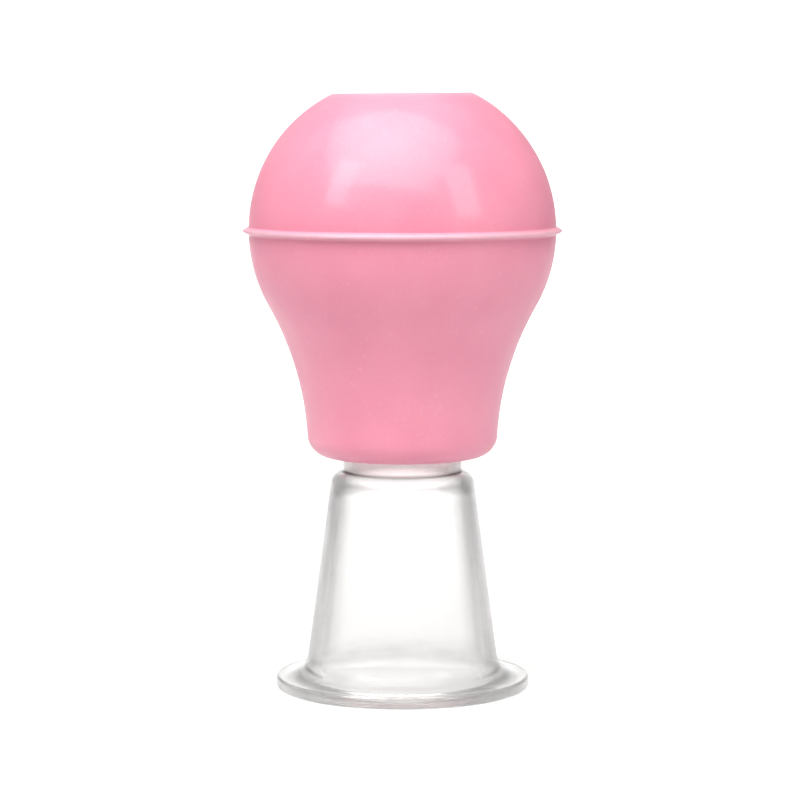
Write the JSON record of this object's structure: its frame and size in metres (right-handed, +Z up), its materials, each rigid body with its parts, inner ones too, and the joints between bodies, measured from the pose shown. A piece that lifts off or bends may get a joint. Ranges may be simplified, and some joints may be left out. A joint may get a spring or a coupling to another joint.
{
  "type": "cupping cup",
  "caption": "Clear bell-shaped suction cup with a flanged mouth, and a soft squeeze bulb pushed onto its hollow spigot.",
  "frame": {"origin": "on the object's axis, in the plane of the flange's underside, which is the face that the cup rests on", "axes": "+Z up along the axis, from the open mouth to the bulb's crown; X and Y are alike, because the object is round"},
  "size_m": [0.0522, 0.0522, 0.0976],
  "materials": {
    "clear_cup": "gloss",
    "bulb": "satin"
  },
  "bodies": {
    "cup": {"cup": "clear_cup"},
    "bulb_base": {"bulb_lower_shell": "bulb"},
    "bulb_top": {"bulb_upper_shell": "bulb"}
  },
  "joints": [
    {"name": "bulb_pull", "type": "slide", "parent": "cup", "child": "bulb_base", "axis": [0, 0, 1], "range_m": [0, 0.02]},
    {"name": "bulb_press", "type": "slide", "parent": "bulb_base", "child": "bulb_top", "axis": [0, 0, -1], "range_m": [0, 0.014], "stiffness_N_per_m": 800, "deforming": ["bulb_lower_shell"]}
  ]
}
